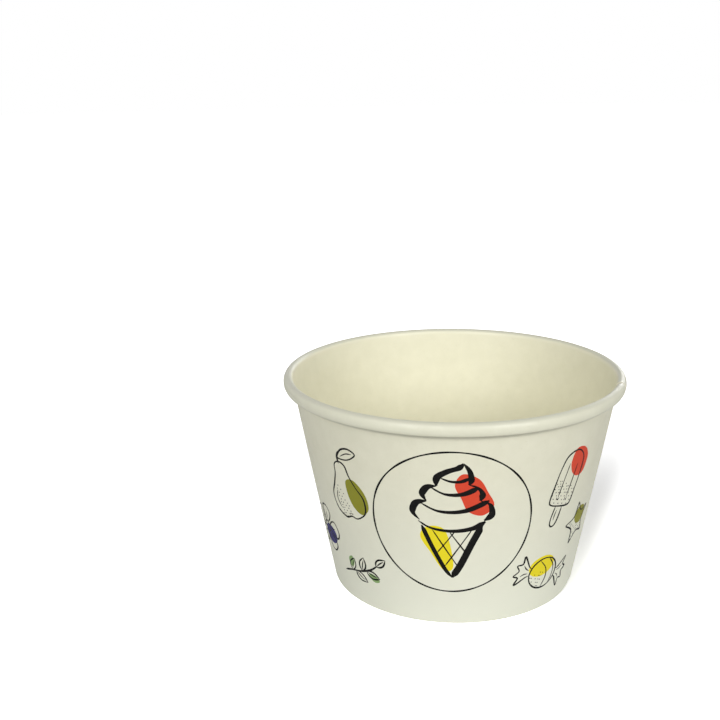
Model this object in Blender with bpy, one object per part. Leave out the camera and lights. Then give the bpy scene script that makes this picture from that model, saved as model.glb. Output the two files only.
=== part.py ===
"""Paper dessert cup: a wrapped side wall with a rolled rim, and a base disc gripped in its folded foot.

The cup stands on the XY plane with its centre line on Z and its front towards -Y. Sections are drawn in
(radius, height). The board of the side wall has a bare face, which looks into the cup, and a printed face.
Both rim and foot are worked from the same sheet: the rim rolls outwards with the bare face outside, and the
foot folds inwards and up with the printed face outside.
"""
import math
from collections import namedtuple

import bmesh
import bpy

MM = 0.001

# Cup body
RIM_RADIUS = 48.0 * MM  # outside of the rolled rim
CUP_HEIGHT = 61.0 * MM  # table to the top of the rolled rim
FOOT_RADIUS = 34.5 * MM  # printed face of the wall, carried down to the table

# Board
WALL_BOARD = 0.36 * MM
BASE_BOARD = 0.30 * MM
FIT_GAP = 0.30 * MM  # left on each side of the base disc's skirt, and under its edge

# Side seam: the blank's two straight edges lap, and the outer layer climbs over the inner one's edge
SEAM_LAP = 7.0 * MM
SEAM_CLIMB = 3.0 * MM
SEAM_PRESSED_HEIGHT = 1.6 * MM  # above the table, pressed down to one board so that the foot stays flat
SEAM_AZIMUTH = math.radians(-14)

# Rolled rim
CURL_WIDTH = 2.8 * MM
CURL_HEIGHT = 3.8 * MM
CURL_LAYER_GAP = 0.15 * MM  # between the wall at the seam and the turn rolled inside it
CURL_TURNS = 1.12
CURL_TUCK_SHARES = (0.75, 0.92)  # shares of the first turn between which the roll tucks in beside the wall
CURL_SEAM_END_SHARE = 0.5  # share of the first turn over which the seam's second layer is rolled flat

# Folded foot
HEM_HEIGHT = 5.6 * MM
FOLD_RADIUS = 0.2 * MM  # bare side of each of the fold's two bends
FOLD_RADIUS_LIMIT_SHARE = 0.4  # most of the channel's width that one bend may take

# Base disc
BASE_BEND_RADIUS = 0.8 * MM  # underside of the bend between panel and skirt
BASE_LIFT = 0.6 * MM  # hem's edge up to the start of that bend

# Facets
ROUND_FACETS = 68
LAP_FACETS = 2
CLIMB_FACETS = 2
CURL_FACETS_PER_TURN = 16
CURL_DIRECTION_STEP = 0.001  # turns to either side of a point of the curl, for its direction
FOLD_FACETS = 3
BEND_FACETS = 4
LEAN_ROUNDS = 20
SHARP_ANGLE = math.radians(35)  # between faces that are shaded with an edge
WELD_DISTANCE = 0.0001 * MM

# Cream cup stock, polyethylene coated inside
PRINTED_COLOUR = (0.78, 0.77, 0.63, 1.0)
BARE_COLOUR = (0.80, 0.78, 0.58, 1.0)
PRINTED_ROUGHNESS = 0.55
BARE_ROUGHNESS = 0.42

# A point on the bare face, the unit direction from it to the printed face, and how much of the seam's
# second layer stands there, from 0 to 1
Point = namedtuple("Point", "radius height out_radius out_height seam")

CHANNEL = BASE_BOARD + 2 * FIT_GAP
FOLD_BEND = min(FOLD_RADIUS, FOLD_RADIUS_LIMIT_SHARE * CHANNEL)
CURL_HALF_WIDTH = CURL_WIDTH / 2
CURL_HALF_HEIGHT = CURL_HEIGHT / 2
CURL_CORE_RADIUS = CURL_HALF_WIDTH - 2 * WALL_BOARD - CURL_LAYER_GAP
CURL_CENTRE = (RIM_RADIUS - CURL_HALF_WIDTH, CUP_HEIGHT - CURL_HALF_HEIGHT)


def smooth(share):
    """Ease from 0 to 1, flat at both ends and clamped beyond them."""
    share = min(max(share, 0.0), 1.0)
    return share * share * (3 - 2 * share)


def fold_centre(lean):
    """Centre of the fold's outer bend, which is tangent to the table and to the leaning wall."""
    bend = FOLD_BEND + WALL_BOARD
    return FOOT_RADIUS - bend * (1 - math.sin(lean)) / math.cos(lean), bend


def fold_tangent(lean):
    """Point of the bare face where the fold's outer bend runs into the wall."""
    radius, height = fold_centre(lean)
    return radius + FOLD_BEND * math.cos(lean), height - FOLD_BEND * math.sin(lean)


def curl_tangent(lean):
    """Point of the bare face where the wall runs into the oval of the curl, and the oval's angle there."""
    reach = math.hypot(CURL_HALF_WIDTH * math.cos(lean), CURL_HALF_HEIGHT * math.sin(lean))
    radius = CURL_CENTRE[0] - CURL_HALF_WIDTH**2 * math.cos(lean) / reach
    height = CURL_CENTRE[1] + CURL_HALF_HEIGHT**2 * math.sin(lean) / reach
    angle = math.atan2(CURL_HALF_HEIGHT * math.sin(lean), -CURL_HALF_WIDTH * math.cos(lean))
    return radius, height, angle


def wall_lean():
    """Angle between the wall and the cup's axis, for a wall tangent to both the fold and the curl."""
    lean = 0.0
    for _ in range(LEAN_ROUNDS):
        foot = fold_tangent(lean)
        rim = curl_tangent(lean)
        lean = math.atan2(rim[0] - foot[0], rim[1] - foot[1])
    return lean


LEAN = wall_lean()
WALL_OUT = (math.cos(LEAN), -math.sin(LEAN))  # from the bare to the printed face of the wall


def bare_wall_radius(height):
    """Radius of the wall's bare face at a height above the table."""
    return FOOT_RADIUS + height * math.tan(LEAN) - WALL_BOARD / math.cos(LEAN)


def bend_directions(first, last, facets):
    """Unit directions at even steps from one angle to another."""
    for step in range(facets + 1):
        angle = first + (last - first) * step / facets
        yield math.cos(angle), math.sin(angle)


def hem_points():
    """Flap inside the foot, from its raw edge down to the fold; its printed face looks to the axis."""
    channel_radius = CHANNEL / math.cos(LEAN)
    return [
        Point(bare_wall_radius(height) - channel_radius, height, -WALL_OUT[0], -WALL_OUT[1], 1.0)
        for height in (HEM_HEIGHT, SEAM_PRESSED_HEIGHT)
    ]


def fold_points():
    """Fold under the foot: a bend at the flap, a flat that stands on the table and a bend at the wall."""
    outer_radius, height = fold_centre(LEAN)
    inner_radius = outer_radius - (CHANNEL - 2 * FOLD_BEND) / math.cos(LEAN)
    down = -math.pi / 2
    points = []
    for radius, first, last in ((inner_radius, -math.pi - LEAN, down), (outer_radius, down, -LEAN)):
        for out in bend_directions(first, last, FOLD_FACETS):
            points.append(Point(radius + FOLD_BEND * out[0], height + FOLD_BEND * out[1], *out, 0.0))
    return points


def wall_points():
    """Straight wall above the fold; the curl's first point is its upper end."""
    height = SEAM_PRESSED_HEIGHT
    return [Point(bare_wall_radius(height), height, *WALL_OUT, 1.0)]


def curl_place(turn):
    """Bare face of the curl, a number of turns on from its start at the wall's upper end."""
    tuck = smooth((turn - CURL_TUCK_SHARES[0]) / (CURL_TUCK_SHARES[1] - CURL_TUCK_SHARES[0]))
    half_width = CURL_HALF_WIDTH + (CURL_CORE_RADIUS - CURL_HALF_WIDTH) * tuck
    half_height = CURL_HALF_HEIGHT + (CURL_CORE_RADIUS - CURL_HALF_HEIGHT) * tuck
    angle = curl_tangent(LEAN)[2] - 2 * math.pi * turn
    return CURL_CENTRE[0] + half_width * math.cos(angle), CURL_CENTRE[1] + half_height * math.sin(angle)


def curl_points():
    """Oval roll that starts up the wall, goes over the top, down outside and tucks up beside the wall."""
    facets = round(CURL_TURNS * CURL_FACETS_PER_TURN)
    points = []
    for step in range(facets + 1):
        turn = CURL_TURNS * step / facets
        before = curl_place(turn - CURL_DIRECTION_STEP)
        after = curl_place(turn + CURL_DIRECTION_STEP)
        along = (after[0] - before[0], after[1] - before[1])
        length = math.hypot(*along)
        seam = max(0.0, 1 - turn / CURL_SEAM_END_SHARE)
        points.append(Point(*curl_place(turn), along[1] / length, -along[0] / length, seam))
    return points


def seam_stations():
    """Angles round the cup, each with the bare and the printed face's places in the seam's build-up.

    Both are counted in boards from the bare face of the inner layer. The raw edges are two stations at one
    angle: the printed side steps down past the lap, and the bare side steps back at the start of the lap.
    """
    mean_radius = (RIM_RADIUS + FOOT_RADIUS) / 2
    lap = SEAM_LAP / mean_radius
    climb = SEAM_CLIMB / mean_radius
    climb_start = 2 * math.pi - climb
    stations = [(lap * step / LAP_FACETS, 0.0, 2.0) for step in range(LAP_FACETS + 1)]
    for step in range(ROUND_FACETS + 1):
        stations.append((lap + (climb_start - lap) * step / ROUND_FACETS, 0.0, 1.0))
    for step in range(1, CLIMB_FACETS + 1):
        share = step / CLIMB_FACETS
        stations.append((climb_start + climb * share, share, 1.0 + share))
    return stations


def loft(name, loops, round_and_round):
    """Mesh through loops of equal length, joined end to end or closed by a face on the first and last."""
    mesh = bpy.data.meshes.new(name)
    bm = bmesh.new()
    rings = [[bm.verts.new(point) for point in loop] for loop in loops]
    followers = rings[1:] + rings[:1] if round_and_round else rings[1:]
    for ring, follower in zip(rings, followers):
        for i in range(len(ring)):
            bm.faces.new((ring[i - 1], ring[i], follower[i], follower[i - 1]))
    if not round_and_round:
        bm.faces.new(rings[0])
        bm.faces.new(rings[-1][::-1])
    bmesh.ops.remove_doubles(bm, verts=bm.verts, dist=WELD_DISTANCE)
    bmesh.ops.recalc_face_normals(bm, faces=bm.faces)
    bm.to_mesh(mesh)
    bm.free()
    mesh.shade_smooth()
    mesh.set_sharp_from_angle(angle=SHARP_ANGLE)
    return mesh


def side_wall_mesh():
    """One wrapped sheet: its section is carried round the cup, one board thick and two in the lap."""
    section = hem_points() + fold_points() + wall_points() + curl_points()
    loops = []
    for turn, bare_boards, printed_boards in seam_stations():
        azimuth = SEAM_AZIMUTH + turn
        faces = []
        for layer in (bare_boards, printed_boards):
            single = min(layer, 1.0) if layer == printed_boards else 0.0
            face = []
            for point in section:
                offset = WALL_BOARD * (single + (layer - single) * point.seam)
                radius = point.radius + point.out_radius * offset
                height = point.height + point.out_height * offset
                face.append((radius * math.cos(azimuth), radius * math.sin(azimuth), height))
            faces.append(face)
        loops.append(faces[0] + faces[1][::-1])
    return loft("side_wall", loops, round_and_round=True)


def base_disc_rings():
    """Section of the base disc, from the edge of its flat top over the bend, round the skirt and back."""
    underside = HEM_HEIGHT + BASE_LIFT + BASE_BEND_RADIUS
    centre_height = underside - BASE_BEND_RADIUS
    skirt_end = WALL_BOARD + FOLD_BEND + FIT_GAP
    skirt_radius = bare_wall_radius(centre_height) - FIT_GAP / math.cos(LEAN)
    top_bend = BASE_BEND_RADIUS + BASE_BOARD
    centre_radius = skirt_radius - top_bend / math.cos(LEAN)
    rings = []
    for bend, directions in (
        (top_bend, list(bend_directions(math.pi / 2, -LEAN, BEND_FACETS))),
        (BASE_BEND_RADIUS, list(bend_directions(-LEAN, math.pi / 2, BEND_FACETS))),
    ):
        arc = [(centre_radius + bend * out[0], centre_height + bend * out[1]) for out in directions]
        inset = FIT_GAP + top_bend - bend
        edge = (bare_wall_radius(skirt_end) - inset / math.cos(LEAN), skirt_end)
        rings += arc + [edge] if bend == top_bend else [edge] + arc
    return rings


def base_disc_mesh():
    """Flat panel with a rounded edge and a skirt that hangs in the channel between wall and hem."""
    facets = ROUND_FACETS + LAP_FACETS + CLIMB_FACETS
    loops = []
    for radius, height in base_disc_rings():
        azimuths = [2 * math.pi * step / facets for step in range(facets)]
        loops.append([(radius * math.cos(a), radius * math.sin(a), height) for a in azimuths])
    return loft("base_disc", loops, round_and_round=False)


def board_material(name, colour, roughness):
    """Coated paper board with a soft satin finish."""
    material = bpy.data.materials.new(name)
    material.use_nodes = True
    shader = material.node_tree.nodes["Principled BSDF"]
    shader.inputs["Base Color"].default_value = colour
    shader.inputs["Roughness"].default_value = roughness
    shader.inputs["Metallic"].default_value = 0.0
    material.diffuse_color = colour
    return material


def add_piece(mesh, material):
    """Link a finished mesh into the scene under the mesh's own name."""
    mesh.materials.append(material)
    piece = bpy.data.objects.new(mesh.name, mesh)
    bpy.context.scene.collection.objects.link(piece)


def main():
    for old in list(bpy.data.objects):
        bpy.data.objects.remove(old, do_unlink=True)
    add_piece(side_wall_mesh(), board_material("printed_board", PRINTED_COLOUR, PRINTED_ROUGHNESS))
    add_piece(base_disc_mesh(), board_material("base_board", BARE_COLOUR, BARE_ROUGHNESS))


main()
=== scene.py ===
"""Looks of the paper dessert cup: fine board meshes, a plain line print, and soft studio light.

Lengths are in metres. The cup stands on the XY plane with its centre line on Z and its front towards -Y,
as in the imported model. The side wall and the base disc are made again here from the model's own sizes,
with more facets than the solids have, and the print lies on the wall as thin layers of ink.
"""

import math

import bmesh
import bpy
import numpy as np
from mathutils import Matrix, Vector


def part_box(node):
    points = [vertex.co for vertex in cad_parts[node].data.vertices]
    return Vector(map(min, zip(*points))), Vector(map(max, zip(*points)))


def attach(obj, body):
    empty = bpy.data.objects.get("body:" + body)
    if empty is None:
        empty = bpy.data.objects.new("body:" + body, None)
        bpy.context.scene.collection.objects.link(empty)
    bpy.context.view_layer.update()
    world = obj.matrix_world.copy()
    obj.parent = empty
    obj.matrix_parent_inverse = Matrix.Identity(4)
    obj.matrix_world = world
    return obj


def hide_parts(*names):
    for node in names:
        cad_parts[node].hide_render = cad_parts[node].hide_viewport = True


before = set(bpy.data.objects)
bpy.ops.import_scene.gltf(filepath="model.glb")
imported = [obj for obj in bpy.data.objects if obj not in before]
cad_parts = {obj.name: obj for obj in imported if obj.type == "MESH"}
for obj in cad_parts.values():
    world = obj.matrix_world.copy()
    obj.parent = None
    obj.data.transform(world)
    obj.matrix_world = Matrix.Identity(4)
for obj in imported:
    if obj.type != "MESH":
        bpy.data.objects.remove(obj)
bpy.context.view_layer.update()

MM = 0.001
BODY = "root"
WALL_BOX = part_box("side_wall")
BASE_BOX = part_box("base_disc")

# Cup body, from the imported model's box and the sizes that the box doesn't show
RIM_RADIUS = WALL_BOX[1].x
CUP_HEIGHT = WALL_BOX[1].z
FOOT_RADIUS = 34.5 * MM
WALL_BOARD = 0.36 * MM
BASE_BOARD = 0.30 * MM

# The channel between wall and hem has the solids' gap on both sides of the skirt. The visible skirt comes
# nearer to the wall than that, so that only a fine crease is left.
FIT_GAP = 0.30 * MM
SEALED_GAP = 0.06 * MM
CHANNEL = BASE_BOARD + 2 * FIT_GAP

# Side seam
SEAM_LAP = 7.0 * MM
SEAM_CLIMB = 3.0 * MM
SEAM_PRESSED_HEIGHT = 1.6 * MM
SEAM_AZIMUTH = math.radians(-14)
SEAM_RADIUS = (RIM_RADIUS + FOOT_RADIUS) / 2
LAP_ANGLE = SEAM_LAP / SEAM_RADIUS
CLIMB_ANGLE = SEAM_CLIMB / SEAM_RADIUS

# Rolled rim
CURL_WIDTH = 2.8 * MM
CURL_HEIGHT = 3.8 * MM
CURL_LAYER_GAP = 0.15 * MM
CURL_TURNS = 1.12
CURL_TUCK_SHARES = (0.75, 0.92)
CURL_SEAM_END_SHARE = 0.5
CURL_HALF_WIDTH = CURL_WIDTH / 2
CURL_HALF_HEIGHT = CURL_HEIGHT / 2
CURL_CORE_RADIUS = CURL_HALF_WIDTH - 2 * WALL_BOARD - CURL_LAYER_GAP
CURL_CENTRE = (RIM_RADIUS - CURL_HALF_WIDTH, CUP_HEIGHT - CURL_HALF_HEIGHT)

# Folded foot, with a knurled band pressed into the hem
HEM_HEIGHT = 5.6 * MM
FOLD_BEND = 0.2 * MM
KNURLS = 120
KNURL_DEPTH = 0.07 * MM
KNURL_BAND = (2.0 * MM, 5.1 * MM)
KNURL_FADE = 0.5 * MM

# Base disc, with small, unevenly spaced puckers where its edge is turned down
BASE_TOP = BASE_BOX[1].z
BASE_BEND_RADIUS = 0.8 * MM
SKIRT_END = BASE_BOX[0].z
PUCKERS = 64
PUCKER_DEPTH = 0.05 * MM
PUCKER_REACH = 2.4 * MM
PUCKER_DRIFT = 2
PUCKER_DRIFT_WAVES = 3

# Facets of the fine meshes, and the angles from which their edges are shaded as sharp
ROUND_STEPS = 480
LAP_STEPS = 12
CLIMB_STEPS = 8
CURL_STEPS_PER_TURN = 40
CURL_DIRECTION_STEP = 0.001
FOLD_STEPS = 5
HEM_STEPS = 8
WALL_STEPS = 16
BASE_STEPS = 240
PANEL_RINGS = 12
BEND_STEPS = 8
SKIRT_STEPS = 4
LEAN_ROUNDS = 20
WELD_DISTANCE = 0.0001 * MM
WALL_SHARP_ANGLE = math.radians(40)
BASE_SHARP_ANGLE = math.radians(60)
INK_SHARP_ANGLE = math.radians(40)

# Material slots of the wall and the base disc
COATED, PRINTED, CUT, ROLLED = range(4)

# The wall of a wrapped cup is never quite round: counts round the cup, phases and shares of the depth
WAVE_DEPTH = 0.09 * MM
WAVES = ((2, 0.4, 0.45), (5, 2.1, 0.3), (9, 4.0, 0.25))

# Ink layers on the wall
INK_SUNK = 0.01 * MM
BLOB_LIFT = 0.012 * MM
LINE_LIFT = 0.022 * MM
BLOB_RINGS = 8

# Pen and brush: a pen line's width drifts along it, and a brush stroke's width follows its direction
LINE_WIDTH = 0.46 * MM
FINE_WIDTH = 0.34 * MM
LINE_TAPER = 1.2 * MM
PRESSURE_SHARE = 0.18
PRESSURE_LENGTH = 11.0 * MM
PRESSURE_OFFSET = 5
BRUSH_WIDTH = 1.9 * MM
BRUSH_HAIR = 0.50 * MM
BRUSH_ANGLE = math.radians(152)
BRUSH_CONTRAST = 1.4
BRUSH_TAPER = 1.6 * MM
TAPER_END_SHARE = 0.35
STROKE_STEP = 0.45 * MM
OVAL_LEAST_STEPS = 8
FRAME_RADIUS = 21.3 * MM

# Dots in staggered rows, each moved a little by sines of its own place, in radians per millimetre
DOT_RADIUS = 0.17 * MM
DOT_SIDES = 8
DOT_SPACING = 1.15 * MM
DOT_ROW_SHARE = 0.8
DOT_SCATTER_SHARE = 0.28
DOT_SCATTER_WAVES = ((12.9, 7.1), (5.3, -9.7))

# Colours, as the eye's 0 to 255 values
BOARD_TINT = (230, 228, 207)
# Painted light: the printed face's tint towards the foot, lighter where light from the floor falls on it
BOARD_FOOT_LIT_TINT = (232, 233, 217)
COATED_TINT = (247, 244, 220)
# Painted shade: the roll is the coated face, given a darker tint
ROLL_SHADED_TINT = (229, 228, 207)
CORE_TINT = (238, 233, 214)
INKS = {
    "black": (10, 10, 11),
    "yellow": (236, 219, 40),
    "red": (218, 74, 50),
    "green": (138, 168, 110),
    "olive": (142, 141, 44),
    "violet": (50, 47, 112),
}

# Noise: its roughness, and the range that most of its values lie in
NOISE_ROUGHNESS = 0.55
NOISE_RANGE = (0.3, 0.7)

# Board faces: fibre_relief is the strength of the fibres' relief, gloss the shader's Specular IOR Level
BOARD_FACES = {
    "coated": {"tint": COATED_TINT, "roughness": 0.42, "fibre_relief": 0.12, "gloss": 0.25},
    # Painted shade: the rolled face is the coated face with a darker tint
    "rolled": {"tint": ROLL_SHADED_TINT, "roughness": 0.38, "fibre_relief": 0.08, "gloss": 0.5},
    "printed": {"tint": BOARD_TINT, "roughness": 0.52, "fibre_relief": 0.22, "gloss": 0.2},
}

# Board surface: noises with their features per metre, and tones as shares of each colour channel. A
# relief is a strength and a depth.
CLOUDS = {"scale": 260, "detail": 4.0}
FLECKS = {"scale": 1500, "detail": 2.0}
FIBRES = {"scale": 2600, "detail": 3.0}
FIBRE_STRETCH = (1.0, 1.0, 0.22)
CLOUD_DARK = (0.975, 0.975, 0.962)
CLOUD_LIGHT = (1.025, 1.025, 1.025)
FIBRE_SHARE = 0.3
FLECK_TONE = (0.86, 0.84, 0.78)
FLECK_SHARE = 0.3
FLECK_RANGE = (0.62, 0.82)
ROUGHNESS_DRIFT = 0.05
CLOUD_RELIEF = (0.25, 0.06 * MM)
FIBRE_DEPTH = 0.02 * MM

# Raw cut edge
EDGE_LAYERS = {"scale": 9000, "detail": 3.0}
EDGE_DARK = (0.84, 0.84, 0.84)
EDGE_ROUGHNESS = 0.85
EDGE_RELIEF = (0.5, 0.03 * MM)

# Ink: how much board shows through where it lies thin, and how far each noise thins it
INK_GAPS_SHARE = 0.01
INK_CLOUDS = {"scale": 900, "detail": 4.0}
INK_CLOUD_SHARE = 0.7
INK_GRAIN = {"scale": 5000, "detail": 2.0}
INK_GRAIN_SHARE = 0.35
INK_GRAIN_RANGE = (0.55, 0.8)
INK_ROUGHNESS = (0.42, 0.56)
INK_RELIEF = (0.2, 0.01 * MM)
INK_GLOSS = 0.12

# Where the board's colour changes to paint light and shade: tones, and the heights or radii between which
# it fades
# Painted shade in the creases at the roll's lower edge
CREASE_SHADE_TONE = (0.60, 0.60, 0.60)
# Painted shade on the roll's crest
CREST_SHADE_TONE = (0.90, 0.90, 0.90)
# Painted light: heights between which the wall turns to its lighter foot tint
FOOT_LIGHT_FADE = (45 * MM, 5 * MM)
CURL_BOTTOM = CUP_HEIGHT - CURL_HEIGHT
# Painted shade on the wall just under the roll
WALL_CREASE_SHADE = (CURL_BOTTOM - 1.4 * MM, CURL_BOTTOM - 0.5 * MM)
# Painted shade along the top of the roll
ROLL_CREST_SHADE = (CUP_HEIGHT - 0.8 * MM, CUP_HEIGHT - 0.2 * MM)
# Painted shade on the roll's underside, where it meets the wall
ROLL_CREASE_SHADE = (CURL_BOTTOM + 0.6 * MM, CURL_BOTTOM)
# Radii where the roll's painted-shade tint gives way to the coated tint, at its inner lip
ROLL_LIP_SHADE_FADE = (CURL_CENTRE[0] - 0.1 * MM, CURL_CENTRE[0] - 0.7 * MM)

# Camera, found from the outlines of the rim, the lip, the wall and the foot in the photograph
PHOTO_PIXELS = 720
SENSOR_WIDTH = 36.0
FOCAL_PIXELS = 1078.5
CAMERA_DISTANCE = 316.3 * MM
CAMERA_ELEVATION = math.radians(21.53)
CAMERA_ROLL = math.radians(-0.67)
CAMERA_CLIP_START = 10 * MM
TARGET_HEIGHT = CUP_HEIGHT / 2
TARGET_PIXEL = (452.12, 469.46)

# Light: a lamp's strength is the tone that it alone gives a white surface that faces it
WORLD_LIGHT = 0.24
LAMP_DISTANCE = 2.4
LAMP_SIZE = 1.13
LAMPS = {
    "front_left": {"azimuth": math.radians(-112), "elevation": math.radians(25), "strength": 0.40},
    "front_right": {"azimuth": math.radians(-51), "elevation": math.radians(26), "strength": 0.39},
    "back": {"azimuth": math.radians(66), "elevation": math.radians(18), "strength": 0.18},
}

# Floor: its bounce is the light that it throws back. To the camera it glows white, and only in a
# soft-edged area behind the cup is the glow low enough for the cup's real shadow to show.
FLOOR_RADIUS = 3.0
FLOOR_SIDES = 64
FLOOR_BOUNCE = 0.88
SHADOW_DEPTH = 1.35
FLOOR_GLOW_NEAR = 0.08
FLOOR_GLOW_FAR = 1.0

# That area: its middle and half width at y = 0, how fast it widens towards the back, and where it fades,
# as shares of its half width and as values of y
SHADOW_MIDDLE = 8 * MM
SHADOW_HALF_WIDTH = 28 * MM
SHADOW_WIDENING = 0.25
SHADOW_SIDES = (1.4, 1.0)
SHADOW_FRONT = (-40 * MM, -10 * MM)
SHADOW_BACK = (170 * MM, 50 * MM)


def smooth(share):
    """Ease from 0 to 1, flat at both ends and clamped beyond them."""
    share = np.clip(share, 0.0, 1.0)
    return share * share * (3 - 2 * share)


def fold_centre(lean):
    """Centre of the fold's outer bend, which is tangent to the table and to the leaning wall."""
    bend = FOLD_BEND + WALL_BOARD
    return FOOT_RADIUS - bend * (1 - math.sin(lean)) / math.cos(lean), bend


def curl_tangent(lean):
    """Bare face's point where the wall runs into the oval of the curl, and the oval's angle there."""
    reach = math.hypot(CURL_HALF_WIDTH * math.cos(lean), CURL_HALF_HEIGHT * math.sin(lean))
    radius = CURL_CENTRE[0] - CURL_HALF_WIDTH**2 * math.cos(lean) / reach
    height = CURL_CENTRE[1] + CURL_HALF_HEIGHT**2 * math.sin(lean) / reach
    angle = math.atan2(CURL_HALF_HEIGHT * math.sin(lean), -CURL_HALF_WIDTH * math.cos(lean))
    return radius, height, angle


def wall_lean():
    """Angle between the wall and the cup's axis, for a wall tangent to both the fold and the curl."""
    lean = 0.0
    for _ in range(LEAN_ROUNDS):
        radius, height = fold_centre(lean)
        foot = (radius + FOLD_BEND * math.cos(lean), height - FOLD_BEND * math.sin(lean))
        rim = curl_tangent(lean)
        lean = math.atan2(rim[0] - foot[0], rim[1] - foot[1])
    return lean


LEAN = wall_lean()
LEAN_COS = math.cos(LEAN)
LEAN_SIN = math.sin(LEAN)
WALL_TOP = curl_tangent(LEAN)[1]


def printed_wall_radius(height):
    """Radius of the wall's printed face at a height above the table."""
    return FOOT_RADIUS + height * math.tan(LEAN)


def bare_wall_radius(height):
    """Radius of the wall's bare face at a height above the table."""
    return printed_wall_radius(height) - WALL_BOARD / LEAN_COS


def wave(azimuth, height):
    """How far the wall bulges outwards at a place, fading to nothing at the foot and the rim."""
    share = np.clip((height - SEAM_PRESSED_HEIGHT) / (WALL_TOP - SEAM_PRESSED_HEIGHT), 0.0, 1.0)
    bulge = sum(part * np.sin(count * azimuth + phase) for count, phase, part in WAVES)
    return WAVE_DEPTH * bulge * np.sin(math.pi * share) ** 2


def seam_layers(azimuth):
    """Boards that the printed face stands on at an azimuth: two in the lap, one elsewhere."""
    turn = np.mod(azimuth - SEAM_AZIMUTH, 2 * math.pi)
    climb = (turn - (2 * math.pi - CLIMB_ANGLE)) / CLIMB_ANGLE
    return np.where(turn <= LAP_ANGLE, 2.0, 1.0 + np.clip(climb, 0.0, 1.0))


def bend_directions(first, last, steps):
    """Unit directions at even steps from one angle to another."""
    angles = np.linspace(first, last, steps + 1)
    return list(zip(np.cos(angles), np.sin(angles)))


def curl_place(turn):
    """Bare face of the curl, a number of turns on from its start at the wall's upper end."""
    tuck = float(smooth((turn - CURL_TUCK_SHARES[0]) / (CURL_TUCK_SHARES[1] - CURL_TUCK_SHARES[0])))
    half_width = CURL_HALF_WIDTH + (CURL_CORE_RADIUS - CURL_HALF_WIDTH) * tuck
    half_height = CURL_HALF_HEIGHT + (CURL_CORE_RADIUS - CURL_HALF_HEIGHT) * tuck
    angle = curl_tangent(LEAN)[2] - 2 * math.pi * turn
    return CURL_CENTRE[0] + half_width * math.cos(angle), CURL_CENTRE[1] + half_height * math.sin(angle)


def wall_section():
    """Rows of the side wall's bare face, from the hem's raw edge to the end of the roll.

    A row is (radius, height, direction to the printed face, share of the seam's second layer, part).
    """
    rows = []
    for height in np.linspace(HEM_HEIGHT, SEAM_PRESSED_HEIGHT, HEM_STEPS + 1):
        radius = bare_wall_radius(height) - CHANNEL / LEAN_COS
        rows.append((radius, height, -LEAN_COS, LEAN_SIN, 1.0, "hem"))
    outer_radius, height = fold_centre(LEAN)
    inner_radius = outer_radius - (CHANNEL - 2 * FOLD_BEND) / LEAN_COS
    down = -math.pi / 2
    for radius, first, last in ((inner_radius, -math.pi - LEAN, down), (outer_radius, down, -LEAN)):
        for out in bend_directions(first, last, FOLD_STEPS):
            rows.append((radius + FOLD_BEND * out[0], height + FOLD_BEND * out[1], *out, 0.0, "fold"))
    for height in np.linspace(SEAM_PRESSED_HEIGHT, WALL_TOP, WALL_STEPS + 1)[:-1]:
        rows.append((bare_wall_radius(height), height, LEAN_COS, -LEAN_SIN, 1.0, "wall"))
    steps = round(CURL_TURNS * CURL_STEPS_PER_TURN)
    for turn in np.linspace(0.0, CURL_TURNS, steps + 1):
        before = curl_place(turn - CURL_DIRECTION_STEP)
        after = curl_place(turn + CURL_DIRECTION_STEP)
        along = (after[0] - before[0], after[1] - before[1])
        length = math.hypot(*along)
        seam = max(0.0, 1 - turn / CURL_SEAM_END_SHARE)
        rows.append((*curl_place(turn), along[1] / length, -along[0] / length, seam, "curl"))
    return rows


def seam_stations():
    """Angles round the cup from the seam, each with the boards under the bare and the printed face."""
    climb_start = 2 * math.pi - CLIMB_ANGLE
    stations = [(turn, 0.0, 2.0) for turn in np.linspace(0.0, LAP_ANGLE, LAP_STEPS + 1)]
    stations += [(turn, 0.0, 1.0) for turn in np.linspace(LAP_ANGLE, climb_start, ROUND_STEPS + 1)]
    for share in np.linspace(0.0, 1.0, CLIMB_STEPS + 1)[1:]:
        stations.append((climb_start + CLIMB_ANGLE * share, share, 1.0 + share))
    return stations


def knurl(azimuth, height):
    """Depth of the knurling pressed into the hem's inner face."""
    fade_in = smooth((height - KNURL_BAND[0]) / KNURL_FADE)
    fade_out = smooth((KNURL_BAND[1] - height) / KNURL_FADE)
    return KNURL_DEPTH * fade_in * fade_out * (1 + math.cos(KNURLS * azimuth)) / 2


def turned(x, y, angle):
    """Flat coordinates, turned about their origin."""
    return x * math.cos(angle) - y * math.sin(angle), x * math.sin(angle) + y * math.cos(angle)


def around_axis(radius, azimuth, height):
    """Place at a radius from the cup's centre line, an azimuth and a height."""
    return radius * math.cos(azimuth), radius * math.sin(azimuth), height


def link_object(name, data):
    """New object for some data, linked to the scene."""
    linked = bpy.data.objects.new(name, data)
    bpy.context.scene.collection.objects.link(linked)
    return linked


def mesh_object(bm, name, sharp_angle):
    """Closed mesh with its faces turned outwards and shaded smooth, as an object in the scene."""
    bmesh.ops.recalc_face_normals(bm, faces=bm.faces)
    mesh = bpy.data.meshes.new(name)
    bm.to_mesh(mesh)
    bm.free()
    mesh.shade_smooth()
    mesh.set_sharp_from_angle(angle=sharp_angle)
    return link_object(name, mesh)


def wall_material(edge, printed, rolled):
    """Material slot of a face of the side wall."""
    if edge:
        return CUT
    if printed:
        return PRINTED
    return ROLLED if rolled else COATED


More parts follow.
